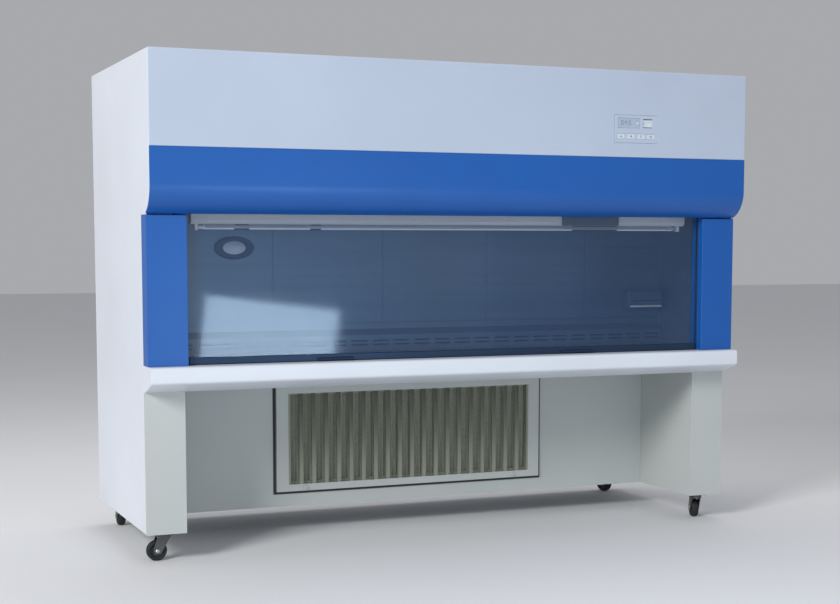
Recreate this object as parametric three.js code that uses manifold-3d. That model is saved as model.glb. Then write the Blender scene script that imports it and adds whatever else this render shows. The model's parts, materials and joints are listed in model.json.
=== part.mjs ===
// A filtered fume hood bench on castors, in millimetres.
// Frame: +X to the right seen from the front, +Y from the front to the back, +Z up.
// Origin: the middle of the base of the whole box, on the floor.
import * as THREE from "three";
import { mergeVertices } from "three/addons/utils/BufferGeometryUtils.js";
import Module from "manifold-3d";

const wasm = await Module();
wasm.setup();

// Outer box
const WIDTH = 2400;
const DEPTH = 1000;
const HEIGHT = 1800;
const SIDE = WIDTH / 2;
const FRONT = -DEPTH / 2;
const BACK = DEPTH / 2;

// Levels
const BASE_Z = 105;
const DECK_Z = 615;
const BENCH_Z = 710;
const CEILING_Z = 1246;
const POST_TOP_Z = 1238;
const CHIN_Z = 1345;
const HEADER_Z = 1470;
const ROOF_Z = 1768;

// Depth planes, from the front
const NOSE_Y = -475;
const POST_Y = -430;
const LEG_Y = -370;
const FRAME_Y = -355;
const KNEE_Y = 30;
const ZONE_BACK_Y = 100;

// Sheets, gaps and common widths
const SKIN = 6;
const SHEET = 4;
const GAP = 0.3;
const POST_W = 145;
const POST_X = SIDE - POST_W;
const ZONE_X = 1185;
const INSIDE_X = SIDE - SKIN - GAP;
const INSIDE_Y = BACK - SKIN - GAP;
const CHIN_R = 110;
const CHIN_Y = FRONT + CHIN_R;
const CHIN_SWEEP = THREE.MathUtils.degToRad(70);
const REAR_SPLIT_Z = 950;

// Sash
const GLASS_Y = [-392, -386];
const GLASS_X = 1072;
const GLASS_Z = [722, 1262];
const GUIDE_X = 1090;
const GUIDE_Y = -410;
const GUIDE_TOP_Z = 1620;
const GROOVE_Y = [-395, -383];
const GROOVE_X = 1080;
const RAIL_X = 1045;
const PULLEY_R = 50;
const PULLEY_Y = -370;
const PULLEY_Z = 1700;
const CABLE_R = 2;
const CABLE_SASH_X = 1040;
const CABLE_WEIGHT_X = CABLE_SASH_X + 2 * PULLEY_R;
const LUG_TOP_Z = 1260;
const WEIGHT_Z = [1320, 1620];
const WEIGHT_Y = [-416, -362];
const WEIGHT_HALF = 44;

// Air system
const DOOR_X = [-598, 552];
const DOOR_Z = [165, 580];
const DOOR_RIM_X = 50;
const DOOR_RIM_Z = 28;
const DOOR_SLATS = 20;
const DOOR_SLAT_W = 16;
const DOOR_T = 16;
const MAT_Y = [KNEE_Y + 10, KNEE_Y + 50];
const MAT_INSET = 23;
const BLOWER_X = 480;
const BLOWER_Y = [130, 330];
const BLOWER_Z = 310;
const SCROLL_R = 185;
const SCROLL_WALL = 5;
const INLET_EYE_R = 110;
const MOTOR_R = 75;
const MOTOR_LENGTH = 95;
const OUTLET_X = [-185, -25];
const IMPELLER_R = 140;
const IMPELLER_BLADES = 16;
const SHAFT_R = 10;
const SHAFT_LENGTH = 85;
const HUB_R = 32;
const HUB_LENGTH = 50;

// Fixtures
const PANEL_X = [605, 795];
const PANEL_Z = [1525, 1631];
const KEY_SIZE = [34, 20];
const KEY_Z = 1550;
const KEY_PITCH = 44;
const KEY_COUNT = 4;
const ROCKER = { x: 752, y: -489.3, z: 1601, tilt: THREE.MathUtils.degToRad(7) };
const DISPLAY_X = [620, 718];
const DISPLAY_Z = [1582, 1620];
const PORT = { x: -737, z: 1122, rx: 80, rz: 45, innerX: 46, innerZ: 24.5 };
const SOCKET_X = [1005, 1175];
const SOCKET_Z = [858, 936];
const INLET_X = [-1000, -930];
const INLET_Z = [150, 200];
const INLET_DEPTH = 32;
const INLET_RIM = 11;

// Castors: the stem's place on the leg, and the way the wheel trails at rest
const CASTOR_X = 1125;
const CASTOR_FRONT_Y = -300;
const CASTOR_REAR_Y = 425;
const WHEEL_R = 37.5;
const WHEEL_SIDES = 24;
const WHEEL_W = 28;
const AXLE_Z = WHEEL_R * Math.cos(Math.PI / WHEEL_SIDES);
const TRAIL = 26;
const WHEEL_AXLE_R = 5;
const CASTORS = [
  { name: "front_left", x: -CASTOR_X, y: CASTOR_FRONT_Y, heading: 180 },
  { name: "front_right", x: CASTOR_X, y: CASTOR_FRONT_Y, heading: 70 },
  { name: "rear_left", x: -CASTOR_X, y: CASTOR_REAR_Y, heading: 90 },
  { name: "rear_right", x: CASTOR_X, y: CASTOR_REAR_Y, heading: 110 },
];

// Looks
function look(color, roughness, metalness) {
  return new THREE.MeshStandardMaterial({ color, roughness, metalness });
}
const WHITE_PAINT = look(0xdde1e8, 0.45, 0.0);
const GREY_PAINT = look(0xb9c3d4, 0.45, 0.0);
const LEG_PAINT = look(0xb8bebd, 0.5, 0.0);
const BLUE_PAINT = look(0x2b5eab, 0.4, 0.0);
const STEEL = look(0x9aa3a8, 0.35, 0.9);
const ALUMINIUM = look(0xb8bcc0, 0.35, 0.9);
const ANODISED = look(0x1d3048, 0.4, 0.6);
const GALVANISED = look(0x8f9692, 0.5, 0.8);
const DARK_PLASTIC = look(0x20242a, 0.5, 0.0);
const LIGHT_PLASTIC = look(0xd6dbe0, 0.4, 0.0);
const PALE_WINDOW = look(0x9aa8b8, 0.2, 0.0);
const RUBBER = look(0x1d2a3c, 0.8, 0.0);
const FILTER_MEDIA = look(0xe8e8e0, 0.9, 0.0);
const GLASS = look(0x9fc4dc, 0.05, 0.0);
const LAMP = look(0xf2f6fa, 0.3, 0.0);

const model = new THREE.Group();

function addPart(name, geometry, material) {
  const mesh = new THREE.Mesh(geometry, material);
  mesh.name = name;
  model.add(mesh);
  return mesh;
}

// Makes the right-hand piece, and the left-hand one as its mirror image.
function addPair(name, geometry, material) {
  addPart(`${name}_right`, geometry, material);
  addPart(`${name}_left`, geometry.clone(), material).scale.x = -1;
}

function block([x0, x1], [y0, y1], [z0, z1]) {
  const geometry = new THREE.BoxGeometry(x1 - x0, y1 - y0, z1 - z0);
  return geometry.translate((x0 + x1) / 2, (y0 + y1) / 2, (z0 + z1) / 2);
}

// Extrudes an outline along an axis. Its points are (y, z) for "x", (x, z) for "y" and (x, y) for "z".
function prism(outline, axis, [from, to]) {
  const shape = new THREE.Shape(outline.map(([u, v]) => new THREE.Vector2(u, v)));
  const geometry = new THREE.ExtrudeGeometry(shape, { depth: to - from, bevelEnabled: false });
  const X = new THREE.Vector3(1, 0, 0);
  const Y = new THREE.Vector3(0, 1, 0);
  const Z = new THREE.Vector3(0, 0, 1);
  const turn = new THREE.Matrix4();
  if (axis === "x") return geometry.applyMatrix4(turn.makeBasis(Y, Z, X).setPosition(from, 0, 0));
  if (axis === "y") {
    return geometry.applyMatrix4(turn.makeBasis(X, Z, Y.negate()).setPosition(0, to, 0));
  }
  return geometry.translate(0, 0, from);
}

function rectangle([u0, u1], [v0, v1]) {
  return [[u0, v0], [u1, v0], [u1, v1], [u0, v1]];
}

function arc(u, v, radius, from, to, steps, stretch = 1) {
  return Array.from({ length: steps + 1 }, (_, i) => {
    const angle = from + ((to - from) * i) / steps;
    return [u + radius * Math.cos(angle), v + radius * stretch * Math.sin(angle)];
  });
}

function ellipse(u, v, ru, rv, steps) {
  return arc(u, v, ru, 0, 2 * Math.PI, steps, rv / ru).slice(0, steps);
}

function disc(radius, sides, axis, [from, to], at = [0, 0]) {
  return prism(ellipse(at[0], at[1], radius, radius, sides), axis, [from, to]);
}

function solid(geometry) {
  const bare = geometry.index ? geometry.toNonIndexed() : geometry.clone();
  bare.deleteAttribute("normal");
  bare.deleteAttribute("uv");
  const merged = mergeVertices(bare, 1e-4);
  const vertProperties = merged.attributes.position.array;
  const triVerts = new Uint32Array(merged.index.array);
  return new wasm.Manifold(new wasm.Mesh({ numProp: 3, vertProperties, triVerts }));
}

function geometryOf(body) {
  const { vertProperties, triVerts } = body.getMesh();
  const geometry = new THREE.BufferGeometry();
  geometry.setAttribute("position", new THREE.BufferAttribute(vertProperties, 3));
  geometry.setIndex(new THREE.BufferAttribute(triVerts, 1));
  const flat = geometry.toNonIndexed();
  flat.computeVertexNormals();
  return flat;
}

function join(...geometries) {
  return geometryOf(geometries.map(solid).reduce((all, next) => all.add(next)));
}

function cut(base, ...tools) {
  return geometryOf(tools.map(solid).reduce((left, tool) => left.subtract(tool), solid(base)));
}

// ---- Shell ----

// The header's cross-section in (y, z): a flat front that curls under into a chin.
function headerOutline() {
  const end = Math.PI + CHIN_SWEEP;
  const outer = arc(CHIN_Y, CHIN_Z, CHIN_R, Math.PI, end, 8);
  const inner = arc(CHIN_Y, CHIN_Z, CHIN_R - SKIN, end, Math.PI, 8);
  return [[FRONT, HEADER_Z], ...outer, ...inner, [FRONT + SKIN, HEADER_Z]];
}

// The side panel's front edge lies behind the fascia, header, post and leg.
function sideOutline() {
  const reach = CHIN_R - SKIN - GAP;
  const chin = arc(CHIN_Y, CHIN_Z, reach, Math.PI, Math.PI + CHIN_SWEEP, 8);
  const chinEndY = chin[chin.length - 1][0];
  return [
    [BACK, BASE_Z],
    [BACK, HEIGHT],
    [FRONT + SKIN + GAP, HEIGHT],
    ...chin,
    [chinEndY, POST_TOP_Z + GAP],
    [FRAME_Y + GAP, POST_TOP_Z + GAP],
    [FRAME_Y + GAP, BASE_Z],
  ];
}

const NOSE_FACE = 55;

// The nose rail: a flat front, a sloping lower face and open at the back, with closed ends.
function noseRail() {
  const top = BENCH_Z - GAP;
  const slopeTop = BENCH_Z - NOSE_FACE;
  const heel = LEG_Y - 2;
  const front = [
    [FRAME_Y, top],
    [NOSE_Y, top],
    [NOSE_Y, slopeTop],
    [heel, DECK_Z],
    [FRAME_Y, DECK_Z],
  ];
  const hollow = [
    [FRAME_Y + 1, top - SKIN],
    [NOSE_Y + SKIN, top - SKIN],
    [NOSE_Y + SKIN, slopeTop + SKIN],
    [heel + 1, DECK_Z + SKIN],
    [FRAME_Y + 1, DECK_Z + SKIN],
  ];
  return cut(prism(front, "x", [-SIDE, SIDE]), prism(hollow, "x", [SKIN - SIDE, SIDE - SKIN]));
}

// The post: a channel that hides the counterweight and holds the glass in its inner groove,
// with a narrower guide above it that carries the groove up behind the header.
function post() {
  const lower = [
    [POST_X, POST_Y], [SIDE, POST_Y], [SIDE, FRAME_Y], [SIDE - SKIN, FRAME_Y],
    [SIDE - SKIN, POST_Y + SKIN], [GUIDE_X, POST_Y + SKIN], [GUIDE_X, FRAME_Y], [POST_X, FRAME_Y],
  ];
  const guide = rectangle([POST_X, GUIDE_X], [GUIDE_Y, FRAME_Y]);
  const groove = rectangle([POST_X - 1, GROOVE_X], GROOVE_Y);
  const both = join(
    prism(lower, "z", [BENCH_Z, POST_TOP_Z]),
    prism(guide, "z", [POST_TOP_Z - 8, GUIDE_TOP_Z]),
  );
  return cut(both, prism(groove, "z", [BENCH_Z - 1, GUIDE_TOP_Z + 1]));
}

// The leg casing: front flange, outer return, inner wall and the bottom plate for the castors.
function legCasing() {
  const heights = [BASE_Z, DECK_Z - GAP];
  const section = [
    [POST_X, LEG_Y], [SIDE, LEG_Y], [SIDE, FRAME_Y], [SIDE - SKIN, FRAME_Y],
    [SIDE - SKIN, LEG_Y + SKIN], [POST_X + SKIN, LEG_Y + SKIN],
    [POST_X + SKIN, INSIDE_Y], [POST_X, INSIDE_Y],
  ];
  const bottom = block([POST_X + 1, INSIDE_X], [LEG_Y + 1, INSIDE_Y], [BASE_Z, BASE_Z + SKIN]);
  return join(prism(section, "z", heights), bottom);
}

function deck() {
  const plate = block([-INSIDE_X, INSIDE_X], [FRAME_Y + GAP, INSIDE_Y], [DECK_Z, DECK_Z + SHEET]);
  const inset = SCROLL_WALL;
  const outlets = [-1, 1].map((side) => {
    const xs = OUTLET_X.map((x) => side * (BLOWER_X + x)).sort((a, b) => a - b);
    const hole = [xs[0] + inset, xs[1] - inset];
    return block(hole, [BLOWER_Y[0] + inset, BLOWER_Y[1] - inset], [DECK_Z - 1, DECK_Z + SHEET + 1]);
  });
  return cut(plate, ...outlets);
}

function lowerFrontPanel() {
  const half = POST_X - GAP;
  const plate = block([-half, half], [KNEE_Y, KNEE_Y + SHEET], [BASE_Z, DECK_Z - GAP]);
  const lip = 20;
  const hole = block(
    [DOOR_X[0] + lip, DOOR_X[1] - lip],
    [KNEE_Y - 1, KNEE_Y + SHEET + 1],
    [DOOR_Z[0] + lip, DOOR_Z[1] - lip],
  );
  return cut(plate, hole);
}

function fascia() {
  const plate = block([-SIDE, SIDE], [FRONT, FRONT + SKIN], [HEADER_Z + GAP, HEIGHT]);
  return cut(plate, block(PANEL_X, [FRONT - 1, FRONT + SKIN + 1], PANEL_Z));
}

function rearCover(zRange, withInlet) {
  const plate = block([-INSIDE_X, INSIDE_X], [BACK - SKIN, BACK], zRange);
  if (!withInlet) return plate;
  return cut(plate, block(INLET_X, [BACK - SKIN - 1, BACK + 1], INLET_Z));
}

const VENT_X = [-425, 425];
const VENT_Y = [-125, 325];
const VENT_RIM = 25;
const VENT_SLOTS = 9;
const VENT_BAR = 16;
const VENT_T = 14;

function roof() {
  const plate = block([-INSIDE_X, INSIDE_X], [-INSIDE_Y, INSIDE_Y], [ROOF_Z, ROOF_Z + SHEET]);
  const hole = block(
    [VENT_X[0] + VENT_RIM, VENT_X[1] - VENT_RIM],
    [VENT_Y[0] + VENT_RIM, VENT_Y[1] - VENT_RIM],
    [ROOF_Z - 1, ROOF_Z + SHEET + 1],
  );
  return cut(plate, hole);
}

function roofVent() {
  const base = ROOF_Z + SHEET + GAP;
  const plate = block(VENT_X, VENT_Y, [base, base + VENT_T]);
  const slotX = [VENT_X[0] + VENT_RIM, VENT_X[1] - VENT_RIM];
  const slotZ = [base - 1, base + VENT_T + 1];
  const pitch = (VENT_Y[1] - VENT_Y[0] - 2 * VENT_RIM) / VENT_SLOTS;
  const slots = Array.from({ length: VENT_SLOTS }, (_, i) => {
    const y = VENT_Y[0] + VENT_RIM + pitch * i + VENT_BAR / 2;
    return block(slotX, [y, y + pitch - VENT_BAR], slotZ);
  });
  return cut(plate, ...slots);
}

addPair("side_panel", prism(sideOutline(), "x", [SIDE - SKIN, SIDE]), WHITE_PAINT);
addPart("upper_fascia", fascia(), GREY_PAINT);
addPart("header_band", prism(headerOutline(), "x", [-SIDE, SIDE]), BLUE_PAINT);
addPair("post", post(), BLUE_PAINT);
addPart("nose_rail", noseRail(), WHITE_PAINT);
addPair("leg_casing", legCasing(), LEG_PAINT);
addPart("lower_front_panel", lowerFrontPanel(), LEG_PAINT);
addPart(
  "base_panel",
  block([GAP - POST_X, POST_X - GAP], [KNEE_Y + SHEET + GAP, INSIDE_Y], [BASE_Z, BASE_Z + SHEET]),
  GALVANISED,
);
addPart("bench_deck", deck(), GALVANISED);
addPart("rear_cover_lower", rearCover([BASE_Z, REAR_SPLIT_Z - GAP], true), WHITE_PAINT);
addPart("rear_cover_upper", rearCover([REAR_SPLIT_Z, HEIGHT], false), WHITE_PAINT);
addPart("roof_panel", roof(), WHITE_PAINT);
addPart("roof_vent", roofVent(), DARK_PLASTIC);

// ---- Work zone ----

const ZONE_Y = [FRAME_Y + GAP, ZONE_BACK_Y - GAP];
const WALL_FOOT_Z = DECK_Z + SHEET + GAP;
addPart(
  "worktop",
  block([GAP - ZONE_X, ZONE_X - GAP], ZONE_Y, [BENCH_Z - GAP - SHEET, BENCH_Z - GAP]),
  STEEL,
);
addPair(
  "inner_wall",
  block([ZONE_X, ZONE_X + SHEET], ZONE_Y, [WALL_FOOT_Z, CEILING_Z - GAP]),
  STEEL,
);
const FILTER_DEPTH = 90;
const FILTER_INSET = 6;
const FILTER_Z = CEILING_Z + SHEET + GAP;
addPart(
  "back_wall",
  block(
    [-INSIDE_X, INSIDE_X],
    [ZONE_BACK_Y, ZONE_BACK_Y + SHEET],
    [WALL_FOOT_Z, FILTER_Z + FILTER_DEPTH],
  ),
  STEEL,
);

// The lamp fixture hangs between the sash and the ceiling diffuser.
const LAMP_X = 1020;
const LAMP_Y = [-350, -305];
const LAMP_Z = 1208;
addPart("lamp_housing", block([-LAMP_X, LAMP_X], LAMP_Y, [LAMP_Z, CEILING_Z - GAP]), WHITE_PAINT);
const TUBE_R = 8;
const TUBE_DROP = 3;
const TUBE_X = LAMP_X - 30;
const tubeCentre = [(LAMP_Y[0] + LAMP_Y[1]) / 2, LAMP_Z - TUBE_R - TUBE_DROP];
addPart("lamp_tube", disc(TUBE_R, 16, "x", [-TUBE_X, TUBE_X], tubeCentre), LAMP);

const CEILING_Y = [LAMP_Y[1] + GAP, ZONE_BACK_Y - GAP];
addPart(
  "ceiling_diffuser",
  block([GAP - ZONE_X, ZONE_X - GAP], CEILING_Y, [CEILING_Z, CEILING_Z + SHEET]),
  STEEL,
);
addPart(
  "supply_filter",
  block(
    [FILTER_INSET - ZONE_X, ZONE_X - FILTER_INSET],
    [CEILING_Y[0] + FILTER_INSET, CEILING_Y[1] - FILTER_INSET],
    [FILTER_Z, FILTER_Z + FILTER_DEPTH],
  ),
  FILTER_MEDIA,
);

// The service port is an oval rubber grommet with a shallow well in the middle.
const PORT_DEPTH = 14;
const WELL_DEPTH = 9;
const portY = [ZONE_Y[1] - PORT_DEPTH, ZONE_Y[1]];
const wellY = [portY[0] - 1, portY[0] + WELL_DEPTH];
addPart(
  "service_port",
  cut(
    prism(ellipse(PORT.x, PORT.z, PORT.rx, PORT.rz, 40), "y", portY),
    prism(ellipse(PORT.x, PORT.z, PORT.innerX, PORT.innerZ, 32), "y", wellY),
  ),
  RUBBER,
);

// The socket box has a flap hinged along its top front edge.
const SOCKET_DEPTH = 34;
const socketFront = ZONE_Y[1] - SOCKET_DEPTH;
const FLAP_GAP = 1;
const FLAP_T = 5;
const FLAP_SIDE_INSET = 4;
const FLAP_Z = [SOCKET_Z[0] + 6, SOCKET_Z[1] - 3];
addPart("socket_box", block(SOCKET_X, [socketFront, ZONE_Y[1]], SOCKET_Z), LIGHT_PLASTIC);
addPart(
  "socket_flap",
  block(
    [SOCKET_X[0] + FLAP_SIDE_INSET, SOCKET_X[1] - FLAP_SIDE_INSET],
    [socketFront - FLAP_GAP - FLAP_T, socketFront - FLAP_GAP],
    FLAP_Z,
  ),
  LIGHT_PLASTIC,
);

// ---- Sash ----

const RAIL_Y = [-402, -376];
const RAIL_Z = [712, 736];
const CLAMP_Y = [-400, -378];
const CLAMP_Z = [1250, 1275];
const LUG_SPAN = [CABLE_SASH_X - 10, CABLE_SASH_X + 5];

// A bar with a slot that takes the edge of the glass; open is "up" or "down".
function glassRail(yRange, zRange, open) {
  const slotY = [GLASS_Y[0] - GAP, GLASS_Y[1] + GAP];
  const upward = [GLASS_Z[0] - GAP, zRange[1] + 1];
  const downward = [zRange[0] - 1, GLASS_Z[1] + GAP];
  const slotZ = open === "up" ? upward : downward;
  const bar = block([-RAIL_X, RAIL_X], yRange, zRange);
  return cut(bar, block([-RAIL_X - 1, RAIL_X + 1], slotY, slotZ));
}

function sashClamp() {
  const lugs = [-1, 1].map((side) => {
    const xs = LUG_SPAN.map((x) => side * x).sort((a, b) => a - b);
    return block(xs, [CLAMP_Y[1] - 1, PULLEY_Y + 3 * CABLE_R], [CLAMP_Z[0], LUG_TOP_Z]);
  });
  return join(glassRail(CLAMP_Y, CLAMP_Z, "down"), ...lugs);
}

// A grooved wheel turned about Y, with stub axles on both sides.
function pulley() {
  const groove = PULLEY_R - CABLE_R - 0.5;
  const rim = PULLEY_R + 4;
  const axle = 6;
  const half = [[groove, 2.4], [rim, 3.4], [rim, 5], [axle, 5], [axle, 12], [0, 12]];
  const otherHalf = half.map(([r, y]) => [r, -y]).reverse();
  const profile = [...otherHalf, ...half].map(([r, y]) => new THREE.Vector2(r, y));
  const turned = new THREE.LatheGeometry(profile, 32);
  return turned.translate(CABLE_SASH_X + PULLEY_R, PULLEY_Y, PULLEY_Z);
}

addPart("sash_glass", block([-GLASS_X, GLASS_X], GLASS_Y, GLASS_Z), GLASS);
addPart("sash_rail", glassRail(RAIL_Y, RAIL_Z, "up"), ANODISED);
addPart("sash_clamp", sashClamp(), ANODISED);
addPair("sash_pulley", pulley(), DARK_PLASTIC);
addPair(
  "counterweight",
  block([CABLE_WEIGHT_X - WEIGHT_HALF, CABLE_WEIGHT_X + WEIGHT_HALF], WEIGHT_Y, WEIGHT_Z),
  GALVANISED,
);
addPair(
  "sash_cable",
  disc(CABLE_R, 8, "z", [LUG_TOP_Z + GAP, PULLEY_Z], [CABLE_SASH_X, PULLEY_Y]),
  STEEL,
);
addPair(
  "weight_cable",
  disc(CABLE_R, 8, "z", [WEIGHT_Z[1] + GAP, PULLEY_Z], [CABLE_WEIGHT_X, PULLEY_Y]),
  STEEL,
);

// ---- Air system ----

// The pre-filter door: a rim and upright slats, hung from its top edge.
function filterDoor() {
  const [x0, x1] = [DOOR_X[0] + DOOR_RIM_X, DOOR_X[1] - DOOR_RIM_X];
  const [z0, z1] = [DOOR_Z[0] + DOOR_RIM_Z, DOOR_Z[1] - DOOR_RIM_Z];
  const pitch = (x1 - x0) / DOOR_SLATS;
  const windows = Array.from({ length: DOOR_SLATS }, (_, i) => {
    const left = x0 + pitch * i + (i === 0 ? 0 : DOOR_SLAT_W / 2);
    const right = x0 + pitch * (i + 1) - (i === DOOR_SLATS - 1 ? 0 : DOOR_SLAT_W / 2);
    return block([left, right], [KNEE_Y - DOOR_T - 1, KNEE_Y + 1], [z0, z1]);
  });
  return cut(block(DOOR_X, [KNEE_Y - DOOR_T, KNEE_Y - GAP], DOOR_Z), ...windows);
}

// One blower: a scroll open at the inlet eye and the outlet, with its motor shell on the back.
function blowerHousing() {
  const at = [BLOWER_X, BLOWER_Z];
  const top = DECK_Z - GAP;
  const outletX = OUTLET_X.map((x) => x + BLOWER_X);
  const outer = join(
    disc(SCROLL_R, 40, "y", BLOWER_Y, at),
    block(outletX, BLOWER_Y, [BLOWER_Z, top]),
    disc(MOTOR_R, 24, "y", [BLOWER_Y[1] - 1, BLOWER_Y[1] + MOTOR_LENGTH], at),
  );
  const insideY = [BLOWER_Y[0] + SCROLL_WALL, BLOWER_Y[1] - SCROLL_WALL];
  const insideX = [outletX[0] + SCROLL_WALL, outletX[1] - SCROLL_WALL];
  return cut(
    outer,
    disc(SCROLL_R - SCROLL_WALL, 40, "y", insideY, at),
    block(insideX, insideY, [BLOWER_Z, top + 1]),
    disc(INLET_EYE_R, 32, "y", [BLOWER_Y[0] - 1, BLOWER_Y[0] + SCROLL_WALL + 1], at),
    disc(SHAFT_R + 1.5, 16, "y", [BLOWER_Y[1] - SCROLL_WALL - 1, BLOWER_Y[1] + SHAFT_LENGTH - 5], at),
  );
}

function impeller() {
  const at = [BLOWER_X, BLOWER_Z];
  const [front, back] = [BLOWER_Y[0] + 14, BLOWER_Y[1] - 14];
  const ringWidth = 24;
  const ring = cut(
    disc(IMPELLER_R, 32, "y", [front, front + SHEET], at),
    disc(IMPELLER_R - ringWidth, 32, "y", [front - 1, front + SHEET + 1], at),
  );
  const backPlate = disc(IMPELLER_R, 32, "y", [back - SHEET, back], at);
  const hub = disc(HUB_R, 20, "y", [back - HUB_LENGTH, back], at);
  const shaft = disc(SHAFT_R, 16, "y", [back - 1, back + SHAFT_LENGTH], at);
  const bladeReach = [IMPELLER_R - ringWidth + 1, IMPELLER_R - 3];
  const blades = Array.from({ length: IMPELLER_BLADES }, (_, i) => {
    const blade = block([-SHEET / 2, SHEET / 2], [front + 1, back - 1], bladeReach);
    blade.rotateY((2 * Math.PI * i) / IMPELLER_BLADES);
    return blade.translate(BLOWER_X, 0, BLOWER_Z);
  });
  return join(ring, backPlate, hub, shaft, ...blades);
}

addPart("filter_door", filterDoor(), LEG_PAINT);
addPart(
  "pre_filter",
  block(
    [DOOR_X[0] + MAT_INSET, DOOR_X[1] - MAT_INSET],
    MAT_Y,
    [DOOR_Z[0] + MAT_INSET, DOOR_Z[1] - MAT_INSET],
  ),
  FILTER_MEDIA,
);
addPair("blower_housing", blowerHousing(), GALVANISED);
addPair("impeller", impeller(), ALUMINIUM);

// ---- Controls ----

const keyCentres = Array.from({ length: KEY_COUNT }, (_, i) => {
  return (PANEL_X[0] + PANEL_X[1]) / 2 + KEY_PITCH * (i - (KEY_COUNT - 1) / 2);
});
const BEZEL_Y = [FRONT, FRONT + 12];
const ROCKER_HALF = [20, 14];
const ROCKER_HOLE_HALF = 17;
const WINDOW_DEPTH = 4;
const KEY_LENGTH = 16;

function span(centre, half) {
  return [centre - half, centre + half];
}

function controlBezel() {
  const shrink = ([low, high]) => [low + GAP, high - GAP];
  const through = [BEZEL_Y[0] - 1, BEZEL_Y[1] + 1];
  const keyHoles = keyCentres.map((x) => {
    return block(span(x, KEY_SIZE[0] / 2 + 0.5), through, span(KEY_Z, KEY_SIZE[1] / 2 + 0.5));
  });
  const rockerX = span(ROCKER.x, ROCKER_HALF[0] + 1);
  const rockerHole = block(rockerX, through, span(ROCKER.z, ROCKER_HOLE_HALF));
  const window = block(DISPLAY_X, [FRONT - 1, FRONT + WINDOW_DEPTH], DISPLAY_Z);
  return cut(block(shrink(PANEL_X), BEZEL_Y, shrink(PANEL_Z)), ...keyHoles, rockerHole, window);
}

// The rocker has a shallow V front and stands tilted, in its off position.
function rocker() {
  const [halfX, halfZ] = ROCKER_HALF;
  const outline = [[-9, halfZ], [-6.5, 0], [-9, -halfZ], [2, -halfZ], [6, -5], [6, 5], [2, halfZ]];
  const body = prism(outline, "x", [-halfX, halfX]).rotateX(ROCKER.tilt);
  return body.translate(ROCKER.x, ROCKER.y, ROCKER.z);
}

addPart("control_bezel", controlBezel(), LIGHT_PLASTIC);
addPart(
  "display_window",
  block(
    [DISPLAY_X[0] + GAP, DISPLAY_X[1] - GAP],
    [FRONT + 1, FRONT + WINDOW_DEPTH - GAP],
    [DISPLAY_Z[0] + GAP, DISPLAY_Z[1] - GAP],
  ),
  PALE_WINDOW,
);
keyCentres.forEach((x, i) => {
  const key = [span(x, KEY_SIZE[0] / 2), [FRONT, FRONT + KEY_LENGTH], span(KEY_Z, KEY_SIZE[1] / 2)];
  addPart(`control_key_${i + 1}`, block(...key), LIGHT_PLASTIC);
});
addPart("power_rocker", rocker(), LIGHT_PLASTIC);
addPart(
  "mains_inlet",
  cut(
    block(
      [INLET_X[0] + GAP, INLET_X[1] - GAP],
      [BACK - INLET_DEPTH, BACK],
      [INLET_Z[0] + GAP, INLET_Z[1] - GAP],
    ),
    block(
      [INLET_X[0] + INLET_RIM, INLET_X[1] - INLET_RIM],
      [BACK - INLET_DEPTH / 2, BACK + 1],
      [INLET_Z[0] + INLET_RIM, INLET_Z[1] - INLET_RIM],
    ),
  ),
  DARK_PLASTIC,
);

// ---- Castors ----

// The fork, built trailing along +X from its stem: a swivel head, a bridge, two cheeks and the axle.
function castorFork() {
  const headZ = [82, BASE_Z - GAP];
  const cheekY = WHEEL_W / 2 + 1.5;
  const cheekT = 3;
  const shoulderZ = headZ[1] - 14;
  const toe = 12;
  const side = [
    [-24, shoulderZ],
    [24, shoulderZ],
    [TRAIL + 15, AXLE_Z + 8],
    [TRAIL + toe, AXLE_Z - toe],
    [TRAIL - toe, AXLE_Z - toe],
    [-18, headZ[0] - 2],
  ];
  const cheeks = [-1, 1].map((s) => {
    const ys = [s * cheekY, s * (cheekY + cheekT)].sort((a, b) => a - b);
    return prism(side, "y", ys);
  });
  const bridge = block([-20, 20], [-cheekY - 1, cheekY + 1], [headZ[0], headZ[0] + 8]);
  const head = disc(25, 24, "z", headZ);
  const axle = disc(WHEEL_AXLE_R, 12, "y", [-cheekY - 2, cheekY + 2], [TRAIL, AXLE_Z]);
  return join(head, bridge, ...cheeks, axle);
}

// The wheel's flats are set so that one of them lies on the floor.
function castorWheel() {
  const tyre = disc(WHEEL_R, WHEEL_SIDES, "y", [-WHEEL_W / 2, WHEEL_W / 2]);
  const level = tyre.rotateY(Math.PI / WHEEL_SIDES);
  const bore = disc(WHEEL_AXLE_R + GAP, 12, "y", [-WHEEL_W / 2 - 1, WHEEL_W / 2 + 1]);
  return cut(level, bore).translate(TRAIL, 0, AXLE_Z);
}

for (const { name, x, y, heading } of CASTORS) {
  const castor = new THREE.Group();
  castor.position.set(x, y, 0);
  castor.rotation.z = THREE.MathUtils.degToRad(heading);
  const fork = new THREE.Mesh(castorFork(), STEEL);
  const wheel = new THREE.Mesh(castorWheel(), DARK_PLASTIC);
  fork.name = `castor_fork_${name}`;
  wheel.name = `castor_wheel_${name}`;
  castor.add(fork, wheel);
  model.add(castor);
}

export default model;
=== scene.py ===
"""Visual model of a filtered fume hood bench on castors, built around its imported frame.

Metres, +X to the right seen from the front, +Y from the front to the back, +Z up.
"""

import json
import math

import bmesh
import bpy
from mathutils import Matrix, Vector


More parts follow.
